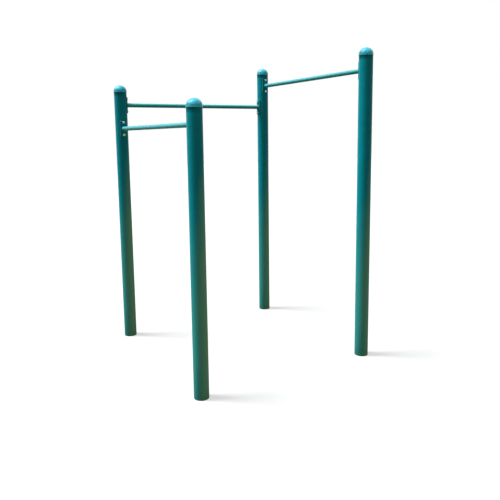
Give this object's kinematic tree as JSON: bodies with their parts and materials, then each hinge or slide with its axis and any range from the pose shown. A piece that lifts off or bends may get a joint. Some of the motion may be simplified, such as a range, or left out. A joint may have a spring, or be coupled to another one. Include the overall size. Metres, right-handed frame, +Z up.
{
  "type": "outdoor pull-up bar",
  "caption": "Outdoor pull-up station: round steel posts with domed caps at the corners of a square, joined on all sides but the front by bars that rise in steps.",
  "frame": {"origin": "on the ground, in the middle of the square of posts", "axes": "+Z up the posts, +X along the back row from the left post to the right, -Y towards the open front"},
  "size_m": [1.6684, 1.6684, 2.5898],
  "materials": {
    "post_paint": "gloss teal paint, weathered",
    "bar_paint": "gloss teal paint, polished by hands",
    "saddle_paint": "gloss teal paint",
    "cap_plastic": "high-gloss teal",
    "bolt_steel": "stainless",
    "washer_steel": "stainless",
    "insert_steel": "zinc plated"
  },
  "bodies": {
    "root": {"post_rear_left": "post_paint", "post_rear_right": "post_paint", "post_front_left": "post_paint", "post_front_right": "post_paint", "cap_rear_left": "cap_plastic", "cap_rear_right": "cap_plastic", "cap_front_left": "cap_plastic", "cap_front_right": "cap_plastic", "bar_low": "bar_paint", "bar_middle": "bar_paint", "bar_high": "bar_paint", "saddle_low_rear_left": "saddle_paint", "saddle_low_front_left": "saddle_paint", "saddle_middle_rear_left": "saddle_paint", "saddle_middle_rear_right": "saddle_paint", "saddle_high_rear_right": "saddle_paint", "saddle_high_front_right": "saddle_paint", "bolt_low_rear_left_upper": "bolt_steel", "bolt_low_rear_left_lower": "bolt_steel", "bolt_low_front_left_upper": "bolt_steel", "bolt_low_front_left_lower": "bolt_steel", "bolt_middle_rear_left_upper": "bolt_steel", "bolt_middle_rear_left_lower": "bolt_steel", "bolt_middle_rear_right_upper": "bolt_steel", "bolt_middle_rear_right_lower": "bolt_steel", "bolt_high_rear_right_upper": "bolt_steel", "bolt_high_rear_right_lower": "bolt_steel", "bolt_high_front_right_upper": "bolt_steel", "bolt_high_front_right_lower": "bolt_steel", "washer_low_rear_left_upper": "washer_steel", "washer_low_rear_left_lower": "washer_steel", "washer_low_front_left_upper": "washer_steel", "washer_low_front_left_lower": "washer_steel", "washer_middle_rear_left_upper": "washer_steel", "washer_middle_rear_left_lower": "washer_steel", "washer_middle_rear_right_upper": "washer_steel", "washer_middle_rear_right_lower": "washer_steel", "washer_high_rear_right_upper": "washer_steel", "washer_high_rear_right_lower": "washer_steel", "washer_high_front_right_upper": "washer_steel", "washer_high_front_right_lower": "washer_steel", "insert_low_rear_left_upper": "insert_steel", "insert_low_rear_left_lower": "insert_steel", "insert_low_front_left_upper": "insert_steel", "insert_low_front_left_lower": "insert_steel", "insert_middle_rear_left_upper": "insert_steel", "insert_middle_rear_left_lower": "insert_steel", "insert_middle_rear_right_upper": "insert_steel", "insert_middle_rear_right_lower": "insert_steel", "insert_high_rear_right_upper": "insert_steel", "insert_high_rear_right_lower": "insert_steel", "insert_high_front_right_upper": "insert_steel", "insert_high_front_right_lower": "insert_steel"}
  },
  "joints": []
}
